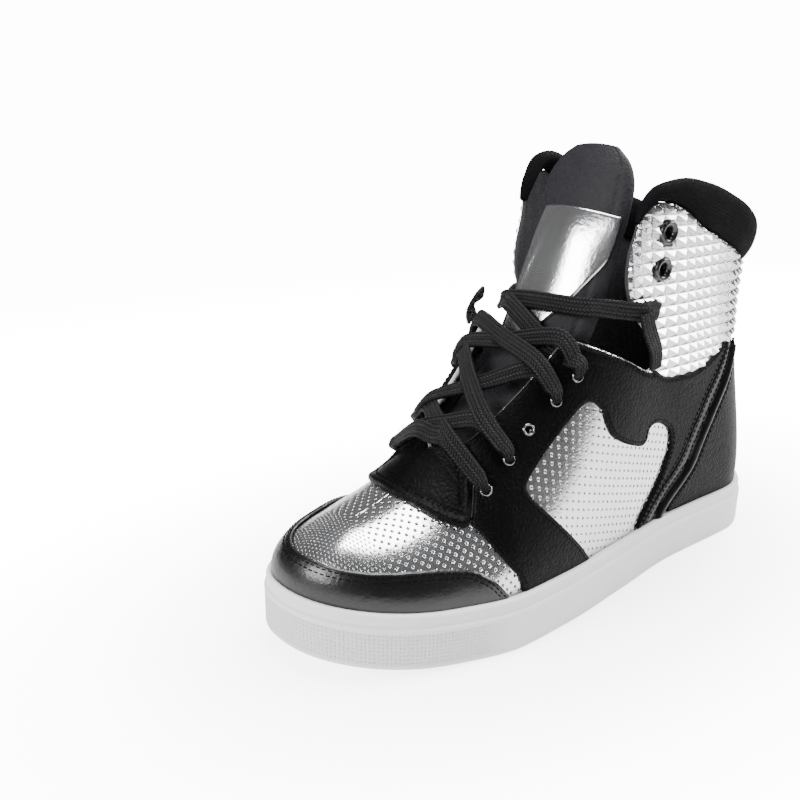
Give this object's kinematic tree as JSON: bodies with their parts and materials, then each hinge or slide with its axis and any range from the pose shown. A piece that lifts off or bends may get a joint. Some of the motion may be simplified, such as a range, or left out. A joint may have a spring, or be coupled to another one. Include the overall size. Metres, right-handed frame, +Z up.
{
  "type": "high-top dance sneaker",
  "caption": "High-top dance sneaker with a thick cupsole, perforated quarters, a quilted padded collar and flat laces; left shoe, standing upright and empty.",
  "frame": {"origin": "centre of the sole's bounding box, on the ground", "axes": "+X to the toe, +Y to the wearer's left, which is the outer side, +Z up"},
  "size_m": [0.272, 0.0984, 0.1901],
  "materials": {
    "white_rubber": "satin moulded rubber",
    "lime_rubber": "satin moulded rubber",
    "insole_foam": "woven lining over foam",
    "silver_leather": "metallic foil, perforated and embossed",
    "black_leather": "pebble grain, satin",
    "black_knit": "padded knit",
    "tongue_cloth": "smooth cloth over foam",
    "steel": "bright",
    "black_metal": "satin black",
    "black_lace": "flat woven"
  },
  "bodies": {
    "root": {"cupsole": "white_rubber", "outsole": "white_rubber", "pivot_disc": "lime_rubber", "insole": "insole_foam", "upper": "silver_leather", "toe_cap": "black_leather", "throat_tab": "black_leather", "facing_outer": "black_leather", "facing_inner": "black_leather", "heel_band_outer": "black_leather", "heel_band_inner": "black_leather", "heel_counter": "black_leather", "collar_padding": "black_knit", "tongue": "tongue_cloth", "tongue_panel": "silver_leather", "eyelet_outer_1": "steel", "eyelet_outer_2": "steel", "eyelet_outer_3": "steel", "eyelet_outer_4": "steel", "eyelet_outer_5": "steel", "eyelet_inner_1": "steel", "eyelet_inner_2": "steel", "eyelet_inner_3": "steel", "eyelet_inner_4": "steel", "eyelet_inner_5": "steel", "grommet_outer_1": "black_metal", "grommet_outer_2": "black_metal", "grommet_inner_1": "black_metal", "grommet_inner_2": "black_metal", "laces": "black_lace", "lace_top": "black_lace", "lace_end_outer": "black_lace", "lace_end_inner": "black_lace"}
  },
  "joints": []
}
